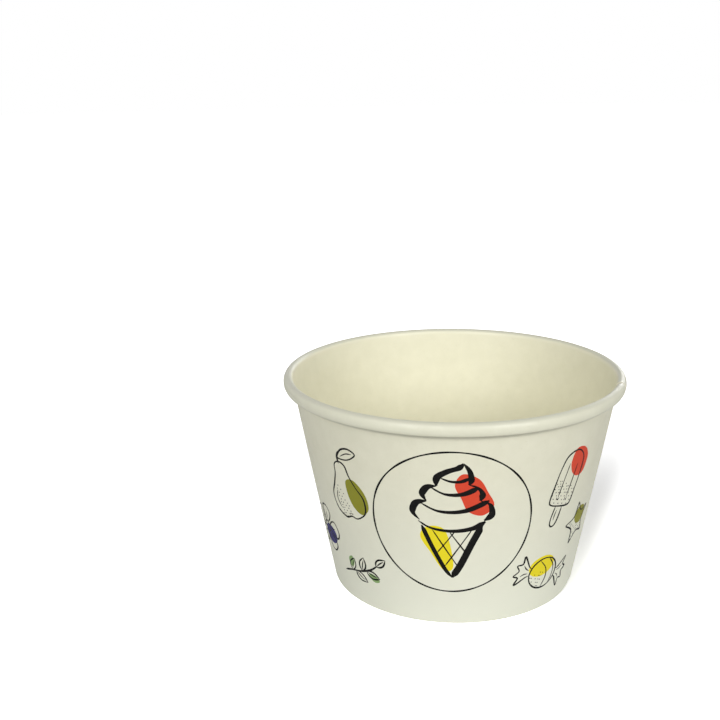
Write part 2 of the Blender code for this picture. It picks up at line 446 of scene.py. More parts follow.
def side_wall():
    """The wrapped sheet, with its hem, fold, wall and rolled rim."""
    rows = wall_section()
    count = len(rows)
    bm = bmesh.new()
    stations = seam_stations()
    rings = []
    for turn, bare_boards, printed_boards in stations:
        azimuth = SEAM_AZIMUTH + turn
        ring = []
        for single, layer in ((0.0, bare_boards), (1.0, printed_boards)):
            face = []
            for radius, height, out_radius, out_height, seam, part in rows:
                offset = WALL_BOARD * (single + (layer - single) * seam)
                if part == "wall":
                    offset += float(wave(azimuth, height))
                if part == "hem" and single:
                    offset -= float(knurl(azimuth, height))
                reach = radius + out_radius * offset
                face.append(bm.verts.new(around_axis(reach, azimuth, height + out_height * offset)))
            ring.append(face)
        rings.append(ring[0] + ring[1][::-1])
    row_of = list(range(count)) + list(range(count))[::-1]
    part_of = [rows[row][-1] for row in row_of]
    for index, ring in enumerate(rings):
        after = (index + 1) % len(rings)
        next_turn = stations[after][0] if after else 2 * math.pi
        seam_edge = math.isclose(stations[index][0], next_turn)
        for i in range(2 * count):
            j = (i + 1) % (2 * count)
            face = bm.faces.new((ring[i], ring[j], rings[after][j], rings[after][i]))
            edge = seam_edge or row_of[i] == row_of[j]
            printed = max(i, j) >= count
            rolled = part_of[i] == part_of[j] == "curl"
            face.material_index = wall_material(edge, printed, rolled)
    bmesh.ops.remove_doubles(bm, verts=bm.verts, dist=WELD_DISTANCE)
    return mesh_object(bm, "cup_wall", WALL_SHARP_ANGLE)


def base_rows():
    """Section of the base disc as (radius, height, material), and the radius where its edge turns down.

    It runs from the middle of the top to the edge, down the skirt and back under the disc.
    """
    underside = BASE_TOP - BASE_BOARD
    centre_height = underside - BASE_BEND_RADIUS
    top_bend = BASE_BEND_RADIUS + BASE_BOARD
    centre_radius = bare_wall_radius(centre_height) - (SEALED_GAP + top_bend) / LEAN_COS
    rows = []
    for bend, material, first, last in (
        (top_bend, COATED, math.pi / 2, -LEAN),
        (BASE_BEND_RADIUS, PRINTED, -LEAN, math.pi / 2),
    ):
        panel = [
            (centre_radius * ring / PANEL_RINGS, centre_height + bend, material)
            for ring in range(1, PANEL_RINGS)
        ]
        arc = [
            (centre_radius + bend * out[0], centre_height + bend * out[1], material)
            for out in bend_directions(first, last, BEND_STEPS)
        ]
        outwards = material == COATED
        start = arc[-1] if outwards else arc[0]
        inset = (SEALED_GAP + top_bend - bend) / LEAN_COS
        skirt = []
        for share in np.linspace(0.0, 1.0, SKIRT_STEPS + 1)[1:]:
            height = start[1] + (SKIRT_END - start[1]) * share
            skirt.append((bare_wall_radius(height) - inset, height, material))
        rows += panel + arc + skirt if outwards else skirt[::-1] + arc + panel[::-1]
    return rows, centre_radius


def base_disc():
    """Flat panel with a turned-down skirt, coated above and plain below."""
    rows, bend_radius = base_rows()
    bm = bmesh.new()
    rings = []
    azimuths = [2 * math.pi * step / BASE_STEPS for step in range(BASE_STEPS)]
    for radius, height, _ in rows:
        near_edge = float(smooth(1 - abs(radius - bend_radius) / PUCKER_REACH))
        ring = []
        for azimuth in azimuths:
            drift = PUCKER_DRIFT * math.sin(PUCKER_DRIFT_WAVES * azimuth)
            ripple = math.cos(PUCKERS * azimuth + drift) - 1
            drop = PUCKER_DEPTH * near_edge * ripple / 2
            ring.append(bm.verts.new(around_axis(radius, azimuth, height + drop)))
        rings.append(ring)
    for (before, after), row in zip(zip(rings, rings[1:]), rows[1:]):
        for i in range(BASE_STEPS):
            face = bm.faces.new((before[i - 1], before[i], after[i], after[i - 1]))
            face.material_index = row[2]
    for ring, row in ((rings[0], rows[0]), (rings[-1], rows[-1])):
        centre = bm.verts.new((0.0, 0.0, row[1]))
        for i in range(BASE_STEPS):
            face = bm.faces.new((centre, ring[i - 1], ring[i]))
            face.material_index = row[2]
    bmesh.ops.remove_doubles(bm, verts=bm.verts, dist=WELD_DISTANCE)
    return mesh_object(bm, "cup_base", BASE_SHARP_ANGLE)


class Drawing:
    """One line drawing. Its points are given as shares of its reach and kept in metres."""

    def __init__(self, reach):
        self.reach = reach
        self.lines = []
        self.blobs = []
        self.dots = []

    def curve(self, shares, closed=False):
        """Smooth curve through a few points, at even steps."""
        knots = [np.array(share) * self.reach for share in shares]
        count = len(knots)
        path = []
        for i in range(count if closed else count - 1):
            near = [i + k for k in (-1, 0, 1, 2)]
            near = [k % count if closed else min(max(k, 0), count - 1) for k in near]
            a, b, c, d = (knots[k] for k in near)
            steps = max(2, round(math.dist(b, c) / STROKE_STEP))
            for t in np.arange(steps) / steps:
                pull = (c - a) * t + (2 * a - 5 * b + 4 * c - d) * t**2 + (3 * b - a - 3 * c + d) * t**3
                path.append(b + pull / 2)
        if not closed:
            path.append(knots[-1])
        return np.array(path)

    def oval(self, x, y, width, height, tilt=0.0, start=0.0, sweep=360.0):
        """Arc of an oval whose angles are in degrees; a full turn comes without its last point."""
        around = math.radians(abs(sweep)) * max(width, height) / 2 * self.reach
        steps = max(OVAL_LEAST_STEPS, round(around / STROKE_STEP))
        angles = np.radians(start + sweep * np.arange(steps + (abs(sweep) < 360)) / steps)
        u, v = turned(width / 2 * np.cos(angles), height / 2 * np.sin(angles), math.radians(tilt))
        return np.stack((x + u, y + v), axis=1) * self.reach

    def line(self, path, width=LINE_WIDTH, closed=False):
        """Pen line, a little heavier here and lighter there."""
        self.lines.append((path, width, closed, False))

    def open_line(self, *shares, width=LINE_WIDTH):
        """Pen line through a few points, from the first to the last."""
        self.line(self.curve(shares), width)

    def brush(self, *shares, width=BRUSH_WIDTH):
        """Brush stroke through a few points, broad down the page and thin across it."""
        self.lines.append((self.curve(shares), width, False, True))

    def blob(self, path, colour):
        """Flat patch of colour under the lines."""
        self.blobs.append((path, colour))

    def stipple(self, outline, keep):
        """Scattered dots inside an outline, where keep(x, y) of the shares says so."""
        low = outline.min(axis=0)
        high = outline.max(axis=0)
        scatter = DOT_SCATTER_SHARE * DOT_SPACING
        for row, y in enumerate(np.arange(low[1], high[1], DOT_SPACING * DOT_ROW_SHARE)):
            for x in np.arange(low[0] + DOT_SPACING / 2 * (row % 2), high[0], DOT_SPACING):
                moves = [scatter * math.sin(a * x / MM + b * y / MM) for a, b in DOT_SCATTER_WAVES]
                place = (x + moves[0], y + moves[1])
                if is_inside(place, outline) and keep(x / self.reach, y / self.reach):
                    self.dots.append(place)


def is_inside(place, outline):
    """Whether a place lies inside a closed outline."""
    x, y = place
    hit = False
    for (ax, ay), (bx, by) in zip(outline, np.roll(outline, -1, axis=0)):
        if (ay > y) != (by > y) and x < ax + (y - ay) / (by - ay) * (bx - ax):
            hit = not hit
    return hit


def pear(reach):
    """Pear with a leaf on its stalk."""
    d = Drawing(reach)
    body = d.curve(
        (
            (0.03, 0.82), (0.23, 0.71), (0.29, 0.42), (0.43, 0.09), (0.61, -0.26), (0.54, -0.68),
            (0.20, -0.89), (-0.02, -0.84), (-0.26, -0.89), (-0.56, -0.66), (-0.62, -0.25), (-0.42, 0.12),
            (-0.26, 0.44), (-0.19, 0.72),
        ),
        closed=True,
    )
    patch = (
        (0.12, 0.26), (0.44, 0.29), (0.71, -0.10), (0.70, -0.54), (0.42, -0.74), (0.16, -0.52),
        (0.06, -0.12),
    )
    d.blob(d.curve(patch, closed=True), "olive")
    d.line(body, closed=True)
    d.open_line((0.01, 0.76), (0.02, 0.96), (0.12, 1.14), width=1.4 * LINE_WIDTH)
    blade = ((0.04, 0.96), (0.24, 1.19), (0.54, 1.24), (0.76, 1.09), (0.52, 0.94), (0.26, 0.90))
    d.line(d.curve(blade, closed=True), closed=True)
    d.open_line((0.16, 0.99), (0.42, 1.09), (0.64, 1.09), width=FINE_WIDTH)
    d.open_line((-0.36, -0.09), (-0.46, -0.36), (-0.37, -0.62), width=FINE_WIDTH)
    d.open_line((-0.07, -0.80), (-0.02, -0.74), (0.04, -0.80), width=FINE_WIDTH)
    d.stipple(body, lambda x, y: -0.34 < x < 0.06 - 0.25 * (y + 0.9) and y < 0.05)
    return d


def flower(reach):
    """Five loose petals round a dotted centre."""
    d = Drawing(reach)
    d.blob(d.oval(0.27, -0.20, 1.06, 0.80, 25), "violet")
    petal = (
        (0.25, -0.30), (0.57, -0.50), (0.87, -0.40), (0.99, -0.06), (0.89, 0.36), (0.60, 0.50),
        (0.25, 0.30),
    )
    vein = ((0.34, 0.02), (0.51, -0.03), (0.67, 0.03))
    for turn in np.radians(90 + 72 * np.arange(5)):
        for outline, width in ((petal, LINE_WIDTH), (vein, FINE_WIDTH)):
            d.open_line(*(turned(length, 0.0, turn + off) for length, off in outline), width=width)
    d.line(d.oval(0.0, 0.0, 0.47, 0.44), closed=True)
    for turn in np.radians(20 + 60 * np.arange(6)):
        d.dots.append((0.12 * reach * math.cos(turn), 0.115 * reach * math.sin(turn)))
    d.dots.append((0.0, 0.0))
    return d


def leaf(d, x, y, length, turn, side, colour=None):
    """Leaf that grows from its stem's place (x, y) along turn, in degrees; side mirrors it."""
    turn = math.radians(turn)

    def placed(shares):
        places = [turned(u, side * v, turn) for u, v in shares]
        return [(x + length * across, y + length * up) for across, up in places]

    if colour:
        patch = ((0.22, 0.05), (0.42, 0.34), (0.74, 0.42), (1.02, 0.20), (0.86, -0.02), (0.50, -0.07))
        d.blob(d.curve(placed(patch), closed=True), colour)
    d.open_line(*placed(((0.0, 0.0), (0.24, 0.22), (0.58, 0.25), (1.0, 0.0))))
    d.open_line(*placed(((1.0, 0.0), (0.60, -0.20), (0.26, -0.17), (0.0, 0.0))))
    d.open_line(*placed(((0.10, 0.0), (0.45, 0.03), (0.80, 0.0))), width=FINE_WIDTH)


def sprig(reach):
    """Bent twig with five leaves."""
    d = Drawing(reach)
    leaf(d, -0.34, -0.31, 0.52, 92, 1, "green")
    leaf(d, -0.19, -0.20, 0.54, -8, -1)
    leaf(d, 0.06, 0.00, 0.54, 98, 1)
    leaf(d, 0.20, 0.13, 0.52, 4, -1, "green")
    leaf(d, 0.49, 0.54, 0.50, 62, 1)
    stem = ((-0.66, -0.62), (-0.36, -0.33), (0.02, -0.04), (0.34, 0.29), (0.52, 0.60))
    d.open_line(*stem, width=1.2 * LINE_WIDTH)
    return d


def ice_lolly(reach):
    """Grooved ice on a flat stick."""
    d = Drawing(reach)
    body = d.curve(
        (
            (-0.43, -0.56), (-0.45, -0.10), (-0.44, 0.40), (-0.34, 0.74), (0.0, 0.91), (0.34, 0.74),
            (0.44, 0.40), (0.45, -0.10), (0.43, -0.56), (0.32, -0.67), (0.0, -0.69), (-0.32, -0.67),
        ),
        closed=True,
    )
    patch = (
        (-0.09, 0.94), (0.28, 0.98), (0.59, 0.72), (0.60, 0.30), (0.36, 0.16), (0.06, 0.26),
        (-0.14, 0.56),
    )
    d.blob(d.curve(patch, closed=True), "red")
    d.line(body, closed=True)
    groove = 0.17
    for x in (-groove, groove):
        d.open_line((x, -0.43), (1.03 * x, 0.0), (x, 0.52), width=FINE_WIDTH)
        d.open_line((x - 0.055, -0.44), (x, -0.50), (x + 0.055, -0.44), width=FINE_WIDTH)
    d.open_line(
        (-0.13, -0.69), (-0.135, -1.05), (-0.09, -1.24), (0.0, -1.29), (0.09, -1.24), (0.135, -1.05),
        (0.13, -0.69),
    )
    d.open_line((-0.03, -0.80), (-0.035, -0.96), (-0.025, -1.10), width=FINE_WIDTH)
    d.stipple(body, lambda x, y: -0.6 < y < -0.04 - 0.35 * x and abs(abs(x) - groove) > 0.05)
    return d


def candy(reach):
    """Round candy in a twisted wrapper."""
    d = Drawing(reach)
    body = d.oval(0.0, 0.0, 1.0, 0.90)
    d.blob(d.oval(-0.15, 0.20, 0.89, 0.62, 18), "yellow")
    d.line(body, closed=True)
    wing = (
        (0.49, 0.11), (0.60, 0.15), (0.88, 0.43), (0.85, 0.21), (1.0, 0.13), (0.88, -0.01),
        (0.98, -0.19), (0.83, -0.21), (0.84, -0.43), (0.59, -0.16), (0.49, -0.11),
    )
    folds = (((0.58, 0.04), (0.70, 0.09), (0.79, 0.17)), ((0.58, -0.05), (0.70, -0.09), (0.77, -0.17)))
    for side in (1, -1):
        d.open_line(*((side * x, y) for x, y in wing))
        for fold in folds:
            d.open_line(*((side * x, y) for x, y in fold), width=FINE_WIDTH)
    d.open_line((-0.28, 0.34), (0.02, 0.15), (0.15, -0.11), (0.11, -0.42), width=FINE_WIDTH)
    d.open_line((0.04, 0.43), (0.30, 0.23), (0.40, -0.06), (0.36, -0.28), width=FINE_WIDTH)
    d.stipple(body, lambda x, y: x < 0.02 and y < 0.08 + 0.5 * x)
    return d


def star_biscuit(reach):
    """Five-pointed biscuit with rounded tips."""
    d = Drawing(reach)
    turns = np.radians(90 + 36 * np.arange(10))
    lengths = np.where(np.arange(10) % 2, 0.51, 1.0)
    corners = np.stack((lengths * np.cos(turns), lengths * np.sin(turns)), axis=1)
    shoulder = 0.16
    shares = []
    for k, corner in enumerate(corners):
        if k % 2:
            shares.append(corner)
            continue
        shares.append(corner + shoulder * (corners[k - 1] - corner))
        shares.append(0.97 * corner)
        shares.append(corner + shoulder * (corners[k + 1] - corner))
    body = d.curve(shares, closed=True)
    d.blob(d.oval(0.22, 0.25, 1.05, 0.84, -30), "olive")
    d.line(body, closed=True)
    d.stipple(body, lambda x, y: math.hypot(x, y) > 0.45 or y < -0.4 * x - 0.08)
    return d


def ring_bun(reach):
    """Iced ring with sprinkles."""
    d = Drawing(reach)
    patch = ((-0.76, 0.08), (-0.93, 0.60), (-0.46, 1.06), (0.19, 1.08), (0.16, 0.55), (-0.22, 0.41))
    d.blob(d.curve(patch, closed=True), "red")
    d.line(d.oval(0.0, 0.0, 2.0, 1.84), closed=True)
    d.line(d.oval(0.01, 0.07, 0.68, 0.59), closed=True)
    d.line(d.oval(0.01, -0.01, 0.57, 0.49, start=200, sweep=140), width=FINE_WIDTH)
    turns = 2 * math.pi * np.arange(16) / 16
    lengths = np.where(np.arange(16) % 2, 0.83, 0.70)
    middle = 0.04
    icing = np.stack((1.04 * lengths * np.cos(turns), middle + 0.94 * lengths * np.sin(turns)), axis=1)
    d.line(d.curve(icing, closed=True), FINE_WIDTH, closed=True)
    half_sprinkle = 0.07
    for k, turn in enumerate(np.radians(8 + 33 * np.arange(11))):
        length = 0.53 + 0.07 * math.sin(5 * k)
        x = 1.05 * length * math.cos(turn)
        y = middle + length * math.sin(turn)
        dx = half_sprinkle * math.cos(2.3 * turn)
        dy = half_sprinkle * math.sin(2.3 * turn)
        d.open_line((x - dx, y - dy), (x + dx, y + dy))
    return d


def ice_cone(reach):
    """Bold brush drawing of an ice cream in a cone, inside a thin round frame."""
    d = Drawing(reach)
    scoop_patch = (
        (0.15, 0.83), (0.38, 0.74), (0.51, 0.51), (0.60, 0.28),
        (0.44, 0.13), (0.23, 0.21), (0.13, 0.43), (0.04, 0.65),
    )
    cone_patch = (
        (-0.40, -0.10), (-0.45, -0.26), (-0.30, -0.51), (-0.12, -0.80),
        (0.02, -0.77), (0.0, -0.46), (-0.09, -0.12), (-0.24, -0.04),
    )
    d.blob(d.curve(scoop_patch, closed=True), "red")
    d.blob(d.curve(cone_patch, closed=True), "yellow")
    for shares in (
        ((-0.43, -0.05), (-0.28, -0.40), (-0.10, -0.77), (0.01, -0.93)),
        ((0.01, -0.93), (0.13, -0.71), (0.29, -0.34), (0.43, -0.05)),
        ((-0.48, 0.02), (-0.30, -0.08), (0.0, -0.12), (0.30, -0.08), (0.48, 0.02)),
        ((-0.46, 0.04), (-0.56, 0.16), (-0.51, 0.32), (-0.36, 0.37)),
        ((0.46, 0.04), (0.57, 0.13), (0.54, 0.30), (0.40, 0.38)),
        ((-0.36, 0.37), (-0.42, 0.48), (-0.35, 0.60), (-0.22, 0.63)),
        ((0.40, 0.38), (0.43, 0.49), (0.36, 0.60), (0.24, 0.65)),
        ((-0.22, 0.63), (-0.21, 0.77), (-0.07, 0.87), (0.09, 0.93), (0.16, 1.0)),
        ((0.16, 1.0), (0.24, 0.88), (0.27, 0.74), (0.24, 0.65)),
        ((-0.45, 0.33), (-0.18, 0.21), (0.18, 0.22), (0.53, 0.37)),
        ((-0.31, 0.61), (-0.10, 0.50), (0.15, 0.50), (0.38, 0.60)),
    ):
        d.brush(*shares)
    d.brush((-0.18, 0.77), (-0.02, 0.71), (0.13, 0.71), (0.26, 0.77), width=0.7 * BRUSH_WIDTH)
    for x0, y0, x1, y1 in (
        (-0.28, -0.10, 0.10, -0.75), (-0.04, -0.12, 0.22, -0.52), (0.29, -0.10, -0.10, -0.74),
        (0.05, -0.12, -0.21, -0.51),
    ):
        d.open_line((x0, y0), ((x0 + x1) / 2, (y0 + y1) / 2), (x1, y1), width=FINE_WIDTH)
    ring = FRAME_RADIUS / reach
    d.line(d.oval(0.0, 0.0, 2 * ring, 2 * ring), closed=True)
    return d


# Where each drawing stands: degrees to the right of the front, height of its middle, tilt and reach
PLACES = (
    (ice_cone, 0, 31.5 * MM, 0, 18.0 * MM),
    (pear, -43, 36.5 * MM, 8, 9.8 * MM),
    (sprig, -42, 11.5 * MM, -22, 9.0 * MM),
    (flower, -65, 19.5 * MM, -12, 7.4 * MM),
    (candy, 42, 12.0 * MM, -18, 10.4 * MM),
    (ice_lolly, 46, 39.0 * MM, -14, 10.2 * MM),
    (star_biscuit, 61, 23.5 * MM, 12, 6.6 * MM),
    (ring_bun, 99, 37.5 * MM, 0, 7.4 * MM),
    (sprig, 104, 13.5 * MM, 30, 9.2 * MM),
    (pear, 130, 35.0 * MM, -10, 9.6 * MM),
    (candy, 141, 11.5 * MM, 12, 10.4 * MM),
    (ice_cone, 180, 31.5 * MM, 0, 18.0 * MM),
    (flower, -139, 38.5 * MM, 10, 7.4 * MM),
    (star_biscuit, -142, 14.0 * MM, -8, 7.0 * MM),
    (ice_lolly, -117, 31.5 * MM, 12, 10.2 * MM),
    (sprig, -95, 39.0 * MM, 4, 9.4 * MM),
    (ring_bun, -96, 15.5 * MM, 0, 7.2 * MM),
)


class Ink:
    """Closed slabs of one ink, laid on the wall."""

    def __init__(self):
        self.places = []
        self.faces = []

    def add(self, layers):
        """Take several lists of places and return the numbers of their points, list by list."""
        numbers = []
        for layer in layers:
            first = len(self.places)
            self.places.extend(layer)
            numbers.append(range(first, first + len(layer)))
        return numbers

    def ribbon(self, left, right, lay, lift, closed):
        """Slab between two edge lines."""
        edges = ((left, -INK_SUNK), (right, -INK_SUNK), (right, lift), (left, lift))
        corners = self.add([lay(edge, level) for edge, level in edges])
        last = len(left) - 1
        for i in range(last + closed):
            j = (i + 1) % (last + 1)
            for k in range(4):
                near, far = corners[k - 1], corners[k]
                self.faces.append((near[i], near[j], far[j], far[i]))
        if not closed:
            self.faces.append([corner[0] for corner in corners])
            self.faces.append([corner[last] for corner in reversed(corners)])

    def patch(self, outline, lay, lift, rings):
        """Slab that fills an outline, bent to the wall by rings round its middle."""
        centre = outline.mean(axis=0)
        shares = np.arange(1, rings + 1) / rings
        loops = [centre + (outline - centre) * share for share in shares]
        top = self.add([lay(centre[None], lift)] + [lay(loop, lift) for loop in loops])
        low = self.add([lay(centre[None], -INK_SUNK)] + [lay(loop, -INK_SUNK) for loop in loops])
        count = len(outline)
        for i in range(count):
            j = (i + 1) % count
            self.faces.append((top[0][0], top[1][i], top[1][j]))
            self.faces.append((low[0][0], low[1][j], low[1][i]))
            for inner, outer in zip(top[1:], top[2:]):
                self.faces.append((inner[i], outer[i], outer[j], inner[j]))
            for inner, outer in zip(low[1:], low[2:]):
                self.faces.append((inner[i], inner[j], outer[j], outer[i]))
            self.faces.append((low[-1][i], low[-1][j], top[-1][j], top[-1][i]))

    def piece(self, name):
        """The slabs as one object."""
        bm = bmesh.new()
        verts = [bm.verts.new(place) for place in self.places]
        for face in self.faces:
            bm.faces.new([verts[k] for k in face])
        return mesh_object(bm, name, INK_SHARP_ANGLE)


def wall_layer(side, height, tilt):
    """Function that lays flat points, and a lift, on the wall round one place of the unrolled board."""
    side = math.radians(side - 90)
    tilt = math.radians(tilt)
    apex = printed_wall_radius(height) / LEAN_SIN

    def lay(points, lift):
        across, up = turned(points[:, 0], points[:, 1], tilt)
        reach = np.hypot(across, up + apex)
        azimuth = side + np.arctan2(across, up + apex) / LEAN_SIN
        level = height + (reach - apex) * LEAN_COS
        out = lift + wave(azimuth, level) + WALL_BOARD * (seam_layers(azimuth) - 1)
        radius = reach * LEAN_SIN + out * LEAN_COS
        places = (radius * np.cos(azimuth), radius * np.sin(azimuth), level - out * LEAN_SIN)
        return np.stack(places, axis=1)

    return lay


def stroke_edges(path, width, closed, brush):
    """Left and right edge of a stroke whose width follows the pen."""
    ahead = np.roll(path, -1, axis=0)
    behind = np.roll(path, 1, axis=0)
    if not closed:
        ahead[-1] = path[-1]
        behind[0] = path[0]
    heading = np.arctan2(ahead[:, 1] - behind[:, 1], ahead[:, 0] - behind[:, 0])
    steps = np.linalg.norm(np.diff(path, axis=0), axis=1)
    along = np.concatenate(([0.0], np.cumsum(steps)))
    if brush:
        across = np.abs(np.sin(heading - BRUSH_ANGLE))
        widths = BRUSH_HAIR + (width - BRUSH_HAIR) * across**BRUSH_CONTRAST
    else:
        phase = 2 * math.pi * (along + path[0, 0] * PRESSURE_OFFSET) / PRESSURE_LENGTH
        if closed:
            turns = round(along[-1] / PRESSURE_LENGTH)
            phase = 2 * math.pi * turns * along / (along[-1] + steps[0])
        widths = width * (1 + PRESSURE_SHARE * np.sin(phase))
    if not closed:
        from_end = np.minimum(along, along[-1] - along)
        taper = smooth(from_end / (BRUSH_TAPER if brush else LINE_TAPER))
        widths = widths * (TAPER_END_SHARE + (1 - TAPER_END_SHARE) * taper)
    side = np.stack((-np.sin(heading), np.cos(heading)), axis=1) * widths[:, None] / 2
    return path + side, path - side


def print_pieces():
    """One object for each ink, with every drawing laid at its place."""
    inks = {colour: Ink() for colour in INKS}
    dot_turns = 2 * math.pi * np.arange(DOT_SIDES) / DOT_SIDES
    dot = DOT_RADIUS * np.stack((np.cos(dot_turns), np.sin(dot_turns)), axis=1)
    for draw, side, height, tilt, reach in PLACES:
        drawing = draw(reach)
        lay = wall_layer(side, height, tilt)
        for path, colour in drawing.blobs:
            inks[colour].patch(path, lay, BLOB_LIFT, BLOB_RINGS)
        for path, width, closed, brush in drawing.lines:
            left, right = stroke_edges(path, width, closed, brush)
            inks["black"].ribbon(left, right, lay, LINE_LIFT, closed)
        for place in drawing.dots:
            inks["black"].patch(dot + place, lay, LINE_LIFT, 1)
    return {colour: ink.piece(f"print_{colour}") for colour, ink in inks.items()}


def linear(tint):
    """Shader colour of an eye's 0 to 255 tint, by the sRGB standard's curve."""
    shares = [value / 255 for value in tint]
    return [s / 12.92 if s <= 0.04045 else ((s + 0.055) / 1.055) ** 2.4 for s in shares] + [1.0]


def toned(colour, shares):
    """Shader colour with each channel scaled by its share."""
    return [min(1.0, value * share) for value, share in zip(colour, shares)] + [1.0]


class Shader:
    """Node material with a Principled shader, and short calls for the nodes that feed it."""

    def __init__(self, name):
        self.material = bpy.data.materials.new(name)
        self.material.use_nodes = True
        self.nodes = self.material.node_tree.nodes
        self.links = self.material.node_tree.links
        self.principled = self.nodes["Principled BSDF"]

    def node(self, kind, **settings):
        """New node with its settings and its inputs' values or links."""
        node = self.nodes.new(kind)
        inputs = settings.pop("inputs", {})
        for key, value in settings.items():
            setattr(node, key, value)
        for key, value in inputs.items():
            self.feed(node, key, value)
        return node

    def feed(self, node, key, value):
        """Set an input to a value, or link it to another node's output."""
        if isinstance(value, bpy.types.NodeSocket):
            self.links.new(value, node.inputs[key])
        else:
            node.inputs[key].default_value = value

    def noise(self, vector, scale, detail):
        """Fractal noise, with its scale in features per metre."""
        inputs = {"Vector": vector, "Scale": scale, "Detail": detail, "Roughness": NOISE_ROUGHNESS}
        return self.node("ShaderNodeTexNoise", inputs=inputs).outputs["Fac"]

    def ramp(self, value, low, high, start=NOISE_RANGE[0], end=NOISE_RANGE[1]):
        """Value brought from its own range into another, and held at its ends."""
        inputs = {"Value": value, "From Min": start, "From Max": end, "To Min": low, "To Max": high}
        return self.node("ShaderNodeMapRange", inputs=inputs).outputs["Result"]

    def fade(self, value, start, end):
        """Share of the way from one value to another, eased at both ends."""
        inputs = {"Value": value, "From Min": start, "From Max": end}
        node = self.node("ShaderNodeMapRange", interpolation_type="SMOOTHSTEP", inputs=inputs)
        return node.outputs["Result"]

    def calculate(self, operation, *values):
        """Result of a Math node."""
        node = self.node("ShaderNodeMath", operation=operation, inputs=dict(enumerate(values)))
        return node.outputs["Value"]

    def mix(self, share, first, second):
        """Two colours mixed by a share; the Mix node's sockets 6, 7 and 2 are those for colours."""
        node = self.node("ShaderNodeMix", data_type="RGBA", inputs={0: share, 6: first, 7: second})
        return node.outputs[2]

    def bump(self, height, strength, depth, normal=None):
        """Surface relief from a height, on top of other relief."""
        inputs = {"Height": height, "Strength": strength, "Distance": depth}
        if normal is not None:
            inputs["Normal"] = normal
        return self.node("ShaderNodeBump", inputs=inputs).outputs["Normal"]

    def scaled(self, vector, scale):
        """Vector stretched by a factor for each axis."""
        node = self.node("ShaderNodeMapping", inputs={"Vector": vector, "Scale": scale})
        return node.outputs["Vector"]


def board_material(name, tint, roughness, fibre_relief, gloss, fades=()):
    """Paper board: cloudy formation, fine upright fibres, a few flecks and a satin surface.

    Each fade has a measure, two values of it, and the colour that the board turns to between them; the
    cup's fades paint light and shade.
    """
    s = Shader(name)
    place = s.node("ShaderNodeTexCoord").outputs["Object"]
    colour = linear(tint)
    cloud = s.noise(place, **CLOUDS)
    fleck = s.noise(place, **FLECKS)
    fibre = s.noise(s.scaled(place, FIBRE_STRETCH), **FIBRES)
    tone = s.mix(s.ramp(cloud, 0.0, 1.0), toned(colour, CLOUD_DARK), toned(colour, CLOUD_LIGHT))
    tone = s.mix(s.ramp(fibre, 0.0, FIBRE_SHARE), tone, toned(colour, CLOUD_DARK))
    tone = s.mix(s.ramp(fleck, 0.0, FLECK_SHARE, *FLECK_RANGE), tone, toned(colour, FLECK_TONE))
    flat = s.scaled(place, (1.0, 1.0, 0.0))
    measures = {
        "height": s.node("ShaderNodeSeparateXYZ", inputs={"Vector": place}).outputs["Z"],
        "radius": s.node("ShaderNodeVectorMath", operation="LENGTH", inputs={0: flat}).outputs["Value"],
    }
    for measure, reach, other in fades:
        tone = s.mix(s.ramp(measures[measure], 0.0, 1.0, *reach), tone, other)
    s.feed(s.principled, "Base Color", tone)
    rough = s.ramp(cloud, roughness + ROUGHNESS_DRIFT, roughness - ROUGHNESS_DRIFT)
    s.feed(s.principled, "Roughness", rough)
    relief = s.bump(fibre, fibre_relief, FIBRE_DEPTH, s.bump(cloud, *CLOUD_RELIEF))
    s.feed(s.principled, "Normal", relief)
    s.principled.inputs["Specular IOR Level"].default_value = gloss
    return s.material


def edge_material():
    """Raw cut edge of the board, with its fibre layers open."""
    s = Shader("board_cut_edge")
    place = s.node("ShaderNodeTexCoord").outputs["Object"]
    layers = s.noise(place, **EDGE_LAYERS)
    colour = linear(CORE_TINT)
    tone = s.mix(s.ramp(layers, 0.0, 1.0), toned(colour, EDGE_DARK), colour)
    s.feed(s.principled, "Base Color", tone)
    s.feed(s.principled, "Normal", s.bump(layers, *EDGE_RELIEF))
    s.principled.inputs["Roughness"].default_value = EDGE_ROUGHNESS
    return s.material


def ink_material(colour):
    """Printing ink that lies a little unevenly on the board's fibres."""
    s = Shader(f"ink_{colour}")
    place = s.node("ShaderNodeTexCoord").outputs["Object"]
    tint = linear(INKS[colour])
    board = linear(BOARD_TINT)
    thin = [t + INK_GAPS_SHARE * (b - t) for t, b in zip(tint, board)]
    cloud = s.noise(place, **INK_CLOUDS)
    grain = s.noise(place, **INK_GRAIN)
    tone = s.mix(s.ramp(cloud, 0.0, INK_CLOUD_SHARE), tint, thin)
    tone = s.mix(s.ramp(grain, 0.0, INK_GRAIN_SHARE, *INK_GRAIN_RANGE), tone, thin)
    s.feed(s.principled, "Base Color", tone)
    s.feed(s.principled, "Roughness", s.ramp(grain, *INK_ROUGHNESS))
    s.feed(s.principled, "Normal", s.bump(grain, *INK_RELIEF))
    s.principled.inputs["Specular IOR Level"].default_value = INK_GLOSS
    return s.material


